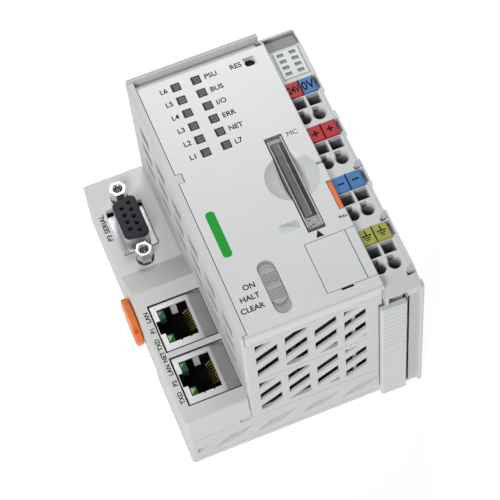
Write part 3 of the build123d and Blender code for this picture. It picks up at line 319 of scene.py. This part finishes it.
for i, text in enumerate(("L6", "L5", "L4", "L3", "L2", "L1")):
    label("print_left_%d" % i, text, LAMP_TEXT_X[0], LAMP_TOP_Y - i * LAMP_PITCH, FACE_Z, CAP, "RIGHT")
for i, text in enumerate(("PSU", "BUS", "I/O", "ERR", "NET", "L7")):
    label("print_right_%d" % i, text, LAMP_TEXT_X[1], LAMP_TOP_Y - i * LAMP_PITCH, FACE_Z, CAP)
label("print_reset", "RES", 53.6, 91.0, FACE_Z, CAP)
label("print_memory", "MC", 60.6, 60.7, FACE_Z, CAP, bold=0.0)
for y, text in ((16.0, "ON"), (12.4, "HALT"), (8.7, "CLEAR")):
    label("print_mode_" + text.lower(), text, 32.2, y, FACE_Z, CAP, "RIGHT")
for key, y0 in JACKS.items():
    for part, text, dy in (("link", "LAN", 13.6), ("port", "P" + key[1:], 8.6), ("act", "TXD", 3.2)):
        label("print_%s_%s" % (part, key), text, JACK_TEXT_X, y0 + dy, JACK_TEXT_Z, JACK_CAP,
              "CENTER", turn=90)
label("print_eth", "NET", JACK_TEXT_X, 23.9, JACK_TEXT_Z, JACK_CAP, "CENTER", turn=90)
label("print_serial", "P3 SERIAL", 1.75, 81.4, SERIAL_TEXT_Z, SERIAL_CAP, "CENTER", turn=90, width=1.05)
plate("print_arrow", [(56.25, 25.5), (54.95, 23.1), (57.55, 23.0)], FACE_Z, INK, PRINT)
label("print_tab", "PULL", 66.5, 26.9, FACE_Z, TAB_CAP, "RIGHT")
plate("print_bar", rounded(26.9, 29.9, 27.6, 44.6, 1.2), FACE_Z, INK, GREEN_PRINT)

# ------------------------------------------------------------------ lamp windows
LAMP_GREY = plastic("lamp_grey", (0.105, 0.108, 0.112), rough=0.5, specular=0.2, vary=0.4)
# Lighter grey for the glints: painted highlights on the lamp windows.
LAMP_GLINT = plastic("lamp_glint", (0.30, 0.305, 0.31), rough=0.4, specular=0.3)
LAMP_ROWS = 6
WOBBLE = 0.12           # step by which the glints differ from window to window

for i in range(LAMP_ROWS):
    for j, x in enumerate(LAMP_X):
        y = LAMP_TOP_Y - i * LAMP_PITCH
        shift = ((i * 2 + j * 3) % 5 - 2) * WOBBLE
        name = "lamp_%d_%d" % (i, j)
        # Glints laid on each pane are painted highlights along its top and right edges and as strokes low
        # and in the middle.
        glints = (("_edge", x + 0.12, y + 0.9, 0.95, 0.07),
                  ("_low", x + shift, y - 0.75, 0.6 - abs(shift), 0.08),
                  ("_mid", x - shift, y + 0.15 + shift, 0.3, 0.07),
                  ("_side", x + 0.98, y - 0.05, 0.06, 0.8))
        bar(name + "_pane", x + 0.12, y - 0.05, 1.02, 1.05, LAMP_Z, INK, LAMP_GREY)
        for part, glint_x, glint_y, half_w, half_h in glints:
            bar(name + part, glint_x, glint_y, half_w, half_h, LAMP_Z + INK, INK, LAMP_GLINT)

# ------------------------------------------------------------------ mode slider
KNOB = plastic("knob_plastic", (0.46, 0.47, 0.47), rough=0.5, specular=0.2)
# The recess floors are painted darker than the housing: painted shade inside the slider's recess.
RECESS = plastic("recess_painted_shade", (0.40, 0.41, 0.41), rough=0.5, specular=0.2)
SLIDER_X, RECESS_HALF = 37.15, 2.7

NODES["mode_slider"].data.materials[0] = KNOB
plate("mode_recess_high", capsule_end(SLIDER_X, 18.2, 22.3, RECESS_HALF), RECESS_Z, SHEET, RECESS)
plate("mode_recess_low", capsule_end(SLIDER_X, 8.6, 3.5, RECESS_HALF), RECESS_Z, SHEET, RECESS)

# ------------------------------------------------------------------ card lid
# Strips and spots laid on the clear lid: the light ones are painted highlights and painted reflections
# along its edges, middle line and ends, the dark ones painted shade, and the body strip is its mid-grey
# tone.
GLASS_SHADE = plastic("lid_shade", (0.045, 0.046, 0.05), rough=0.16, specular=0.35, vary=0.5)
GLASS_MID = plastic("lid_body", (0.16, 0.165, 0.17), rough=0.16, specular=0.4, vary=0.35)
GLASS_HIGHLIGHT = plastic("lid_edge_highlight", (0.55, 0.56, 0.56), rough=0.16, specular=0.6, vary=0.2)
GLASS_END_HIGHLIGHT = plastic("lid_end_highlight", (0.30, 0.305, 0.31), rough=0.12, specular=0.6, vary=0.6)
LID_STRIPS = (          # name, middle, half size and material
    ("edge_left", 53.98, 43.6, 0.16, 16.4, GLASS_HIGHLIGHT),
    ("edge_right", 58.58, 43.6, 0.22, 16.9, GLASS_HIGHLIGHT),
    ("shade_left", 54.45, 44.6, 0.28, 13.8, GLASS_SHADE),
    ("body", 55.75, 44.6, 0.95, 13.8, GLASS_MID),
    ("line", 56.83, 44.6, 0.08, 13.6, GLASS_HIGHLIGHT),
    ("shade_right", 57.6, 44.6, 0.62, 13.8, GLASS_SHADE),
    ("end_low", 56.3, 28.4, 2.0, 1.9, GLASS_END_HIGHLIGHT),
    ("end_high", 56.3, 59.5, 2.1, 0.7, GLASS_END_HIGHLIGHT),
    ("end_low_shade", 56.6, 30.55, 1.6, 0.2, GLASS_SHADE),
    ("end_high_shade", 56.3, 60.45, 1.9, 0.15, GLASS_SHADE),
)
LID_SPOTS = ((55.0, 29.3), (56.9, 28.9), (55.9, 27.6), (57.6, 27.5), (54.9, 27.2))

for name, x, y, half_w, half_h, material in LID_STRIPS:
    bar("lid_" + name, x, y, half_w, half_h, LID_Z, SHEET, material, "lid")
# Small chips at the lid's low end: painted highlights and painted shade in turn.
for k, (x, y) in enumerate(LID_SPOTS):
    chip = [(x - 0.45, y - 0.1), (x + 0.35, y - 0.25), (x + 0.5, y + 0.1), (x - 0.3, y + 0.2)]
    plate("lid_spot_%d" % k, chip, LID_Z + SHEET, INK, GLASS_HIGHLIGHT if k % 2 else GLASS_SHADE, "lid")

# ------------------------------------------------------------------ jacks, gaps and side panel
GAP = plastic("gap_shade", (0.006, 0.006, 0.007), rough=0.8, specular=0.05)
JACK_SHADE = metal("jack_shade", (0.54, 0.545, 0.555), 0.5)
GLINT = plastic("lens_glint", (0.20, 0.36, 0.16), rough=0.2)
GLINT_LOW = plastic("lens_glint_low", (0.38, 0.52, 0.24), rough=0.2)
END_PANEL_SHADE = plastic("end_panel_painted_shade", (0.60, 0.61, 0.60), rough=0.5, specular=0.25)
LENS_X, LENS_Z = 5.75, 30.4         # left edge and face of the jacks' lamp lenses

for key, y0 in JACKS.items():
    bar("jack_gap_left_" + key, 3.34, y0 + 8.5, 0.2, 8.95, JACK_Z, GAP_DEPTH, GAP)
    bar("jack_gap_low_" + key, 12.1, y0 - 0.26, 8.9, 0.2, JACK_Z, GAP_DEPTH, GAP)
    bar("jack_gap_high_" + key, 12.1, y0 + 17.27, 8.9, 0.14, JACK_Z, GAP_DEPTH, GAP)
    slope_plate("jack_slope_" + key, 16.5, 20.6, y0 + 0.2, y0 + 16.9, 30.87, 30.16, JACK_SHADE)
    # Light green triangles on the lamp lenses are painted highlights.
    plate("led_low_" + key, [(LENS_X, y0 + 3.3), (7.3, y0 + 5.1), (LENS_X, y0 + 5.5)],
          LENS_Z, SHEET, GLINT_LOW)
    plate("led_glint_high_" + key, [(LENS_X, y0 + 13.2), (7.1, y0 + 14.5), (LENS_X, y0 + 14.7)],
          LENS_Z, SHEET, GLINT)
bar("flap_slot_shade", 57.0, 4.1, 1.95, 0.45, RECESS_Z, GAP_DEPTH, GAP)

end_strip("latch_gap_shade", 73.86, 74.4, (0.3, 12.0), (1.75, 62.0), GAP)
end_strip("latch_gap_edge", 74.42, 74.86, (-0.96, 3.0), (-0.96, 61.0), GAP)
# Grey strip darker than the housing on the end face: painted shade of a recessed panel.
end_strip("end_panel", 74.9, 77.7, (-0.96, 3.0), (-0.96, 61.0), END_PANEL_SHADE)
end_strip("latch_pocket_shade", 68.3, 70.2, (1.7, 57.6), (2.2, 60.6), GAP)

# ------------------------------------------------------------------ shade in the slots of the left wall
SLOT_ROWS = ((37.6, 5.0), (46.2, 6.0), (55.6, 6.6))         # bottom and height of each row
SLOT_COUNT, SLOT_Y, SLOT_PITCH, SLOT_LENGTH, SLOT_SLANT = 6, 8.8, 14.4, 9.0, 1.2
SLOT_X, SLOT_SHEET = 22.25, 0.04

for row, (low, tall) in enumerate(SLOT_ROWS):
    for i in range(SLOT_COUNT):
        near = SLOT_Y + i * SLOT_PITCH
        outline = [(near, low + SLOT_SLANT), (near + SLOT_LENGTH, low),
                   (near + SLOT_LENGTH, low + tall - SLOT_SLANT), (near, low + tall)]
        side_sheet("side_slot_%d_%d" % (row, i), SLOT_X, outline, SLOT_SHEET, GAP)

# ------------------------------------------------------------------ marker symbols
ROW_TOPS = (79.7, 61.8, 41.8, 21.7)     # upper edges of the marker rows
COLUMNS = (67.15, 72.0)                 # left edges of the markers
PLATE_W, PLATE_H = 4.75, 5.9
MARK_X = [x + PLATE_W / 2 for x in COLUMNS]
MARK_Y = [y - PLATE_H / 2 for y in ROW_TOPS]
SIGNS = (("plus", 1, ((1.15, 0.3), (0.3, 1.15))), ("minus", 2, ((1.15, 0.28),)))      # half sizes
EARTH = ((1.25, 0.22, 0.95), (0.3, 1.5, 0.22), (-0.5, 1.05, 0.2), (-1.25, 0.6, 0.2))  # place, half size

label("mark_0_0", "24V", MARK_X[0], MARK_Y[0], MARK_Z, 2.6, "CENTER", width=0.66, bold=0.1)
label("mark_0_1", "0V", MARK_X[1], MARK_Y[0], MARK_Z, 3.1, "CENTER", width=0.85, bold=0.09)
for row, y in enumerate(MARK_Y):
    bar("mark_gap_%d" % row, COLUMNS[1] - 0.05, y, 0.14, PLATE_H / 2 - 0.05, MARK_Z, SHEET, GAP)
for col, x in enumerate(MARK_X):
    for kind, row, strokes in SIGNS:
        for k, (half_w, half_h) in enumerate(strokes):
            bar("mark_%s_%d_%d" % (kind, col, k), x, MARK_Y[row], half_w, half_h, MARK_Z,
                INK * (1 + k * 0.2), PRINT)
    for k, (dy, half_w, half_h) in enumerate(EARTH):
        bar("mark_earth_%d_%d" % (col, k), x, MARK_Y[3] + dy, half_w, half_h, MARK_Z, INK, PRINT)

# ------------------------------------------------------------------ indicator cells of the terminal section
CELL = plastic("cell_grey", (0.33, 0.335, 0.34), rough=0.35)
CELL_X, CELL_Y, CELL_PITCH, CELL_ROWS = (70.6, 74.7), 83.05, 2.5, 4
CELL_HALF_W, CELL_HALF_H, CELL_THICK = 1.06, 0.71, 0.12

for i, x in enumerate(CELL_X):
    for k in range(CELL_ROWS):
        bar("cell_%d_%d" % (i, k), x, CELL_Y + k * CELL_PITCH, CELL_HALF_W, CELL_HALF_H,
                    CELL_Z, CELL_THICK, CELL)

# ------------------------------------------------------------------ floor, lights and camera
FLOOR_SIZE, FLOOR_DROP = 6, 0.0001                  # in metres
FLOOR_COLOUR, FLOOR_ROUGH, FLOOR_GLOW = 0.68, 0.22, 0.60
WORLD_LIGHT = 0.19
KEY_PLACE, KEY_POWER = (-0.32, -0.38, 0.56), 2.25
SHEEN_PLACE, SHEEN_POWER = (0.12, 0.46, 0.50), 1.86
LIGHT_SIZE = 0.30
CAMERA_PLACE = (-43.69, -253.33, 593.28)            # in millimetres from the module's corner
CAMERA_FORWARD = (0.13180, 0.46947, -0.87305)
CAMERA_UP = (0.35182, 0.80125, 0.48397)
CAMERA_LENS, CAMERA_SENSOR = 143.43, 36

bpy.ops.mesh.primitive_plane_add(size=FLOOR_SIZE, location=(0, 0, -FLOOR_DROP))
floor = bpy.context.object
floor.name = "floor"
floor_white, _, _, bsdf = new_material("floor_white")
bsdf.inputs["Base Color"].default_value = (FLOOR_COLOUR, FLOOR_COLOUR, FLOOR_COLOUR, 1)
bsdf.inputs["Roughness"].default_value = FLOOR_ROUGH
bsdf.inputs["Specular IOR Level"].default_value = 0.5
bsdf.inputs["Emission Color"].default_value = (1, 1, 1, 1)
bsdf.inputs["Emission Strength"].default_value = FLOOR_GLOW
floor.data.materials.append(floor_white)

world = bpy.context.scene.world or bpy.data.worlds.new("world")
bpy.context.scene.world = world
world.use_nodes = True
background = world.node_tree.nodes["Background"]
background.inputs["Color"].default_value = (1, 1, 1, 1)
background.inputs["Strength"].default_value = WORLD_LIGHT


def area_light(name, place, power):
    """Soft round light that shines from its place to the origin."""
    data = bpy.data.lights.new(name, "AREA")
    data.shape = "DISK"
    data.size = LIGHT_SIZE
    data.energy = power
    lamp = bpy.data.objects.new(name, data)
    bpy.context.scene.collection.objects.link(lamp)
    lamp.location = Vector(place)
    lamp.rotation_mode = "QUATERNION"
    lamp.rotation_quaternion = Vector(place).to_track_quat("Z", "Y")


area_light("key", KEY_PLACE, KEY_POWER)
area_light("sheen", SHEEN_PLACE, SHEEN_POWER)

camera_data = bpy.data.cameras.new("camera")
camera_data.lens = CAMERA_LENS
camera_data.sensor_width = CAMERA_SENSOR
camera_data.clip_start = 0.05
camera_data.clip_end = 20
camera = bpy.data.objects.new("camera", camera_data)
bpy.context.scene.collection.objects.link(camera)
bpy.context.scene.camera = camera
forward = Vector(CAMERA_FORWARD).normalized()
right = forward.cross(Vector(CAMERA_UP)).normalized()
up = right.cross(forward)
pose = Matrix((right, up, -forward)).transposed().to_4x4()
pose.translation = at(*CAMERA_PLACE)
camera.matrix_world = pose
bpy.context.scene.view_settings.view_transform = "Standard"
